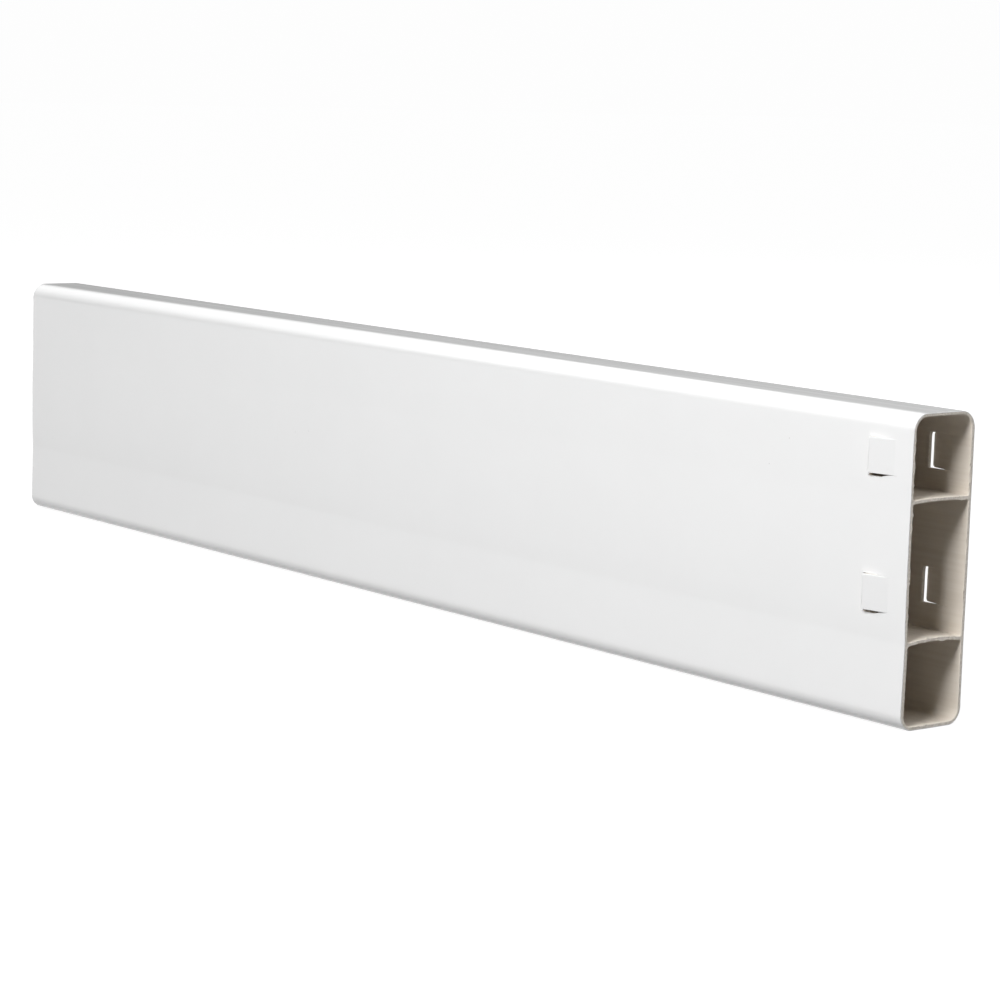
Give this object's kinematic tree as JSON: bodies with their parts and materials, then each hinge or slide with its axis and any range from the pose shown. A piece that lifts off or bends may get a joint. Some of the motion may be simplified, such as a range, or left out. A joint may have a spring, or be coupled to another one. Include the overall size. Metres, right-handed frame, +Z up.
{
  "type": "hollow fence rail",
  "caption": "Hollow rounded-rectangle vinyl fence rail with inner webs and sprung lanced tabs near one end that lock it into a routed post.",
  "frame": {"origin": "middle of the rail's bottom edge face, half way along its length", "axes": "+X along the rail towards the tabbed end that enters the post, -Y out of the front face, +Z up across the rail's tall side"},
  "size_m": [0.752, 0.0432, 0.1397],
  "materials": {
    "rail_pvc": "smooth white extruded PVC with a soft gloss, sawn ends slightly rough",
    "tab_pvc": "the same white PVC, lanced and bent, edges slightly rolled"
  },
  "bodies": {
    "rail_body": {"rail": "rail_pvc"},
    "front_upper_tab_body": {"front_upper_tab": "tab_pvc"},
    "front_lower_tab_body": {"front_lower_tab": "tab_pvc"},
    "rear_upper_tab_body": {"rear_upper_tab": "tab_pvc"},
    "rear_lower_tab_body": {"rear_lower_tab": "tab_pvc"}
  },
  "joints": [
    {"name": "front_upper_tab_flex", "type": "hinge", "parent": "rail_body", "child": "front_upper_tab_body", "pos_m": [0.365, -0.0181, 0.11955], "axis": [0, 0, -1], "range_deg": [0, 11], "stiffness_Nm_per_rad": 5.5},
    {"name": "front_lower_tab_flex", "type": "hinge", "parent": "rail_body", "child": "front_lower_tab_body", "pos_m": [0.365, -0.0181, 0.05915], "axis": [0, 0, -1], "range_deg": [0, 11], "stiffness_Nm_per_rad": 5.5},
    {"name": "rear_upper_tab_flex", "type": "hinge", "parent": "rail_body", "child": "rear_upper_tab_body", "pos_m": [0.365, 0.0181, 0.11955], "axis": [0, 0, 1], "range_deg": [0, 11], "stiffness_Nm_per_rad": 5.5},
    {"name": "rear_lower_tab_flex", "type": "hinge", "parent": "rail_body", "child": "rear_lower_tab_body", "pos_m": [0.365, 0.0181, 0.05915], "axis": [0, 0, 1], "range_deg": [0, 11], "stiffness_Nm_per_rad": 5.5}
  ]
}
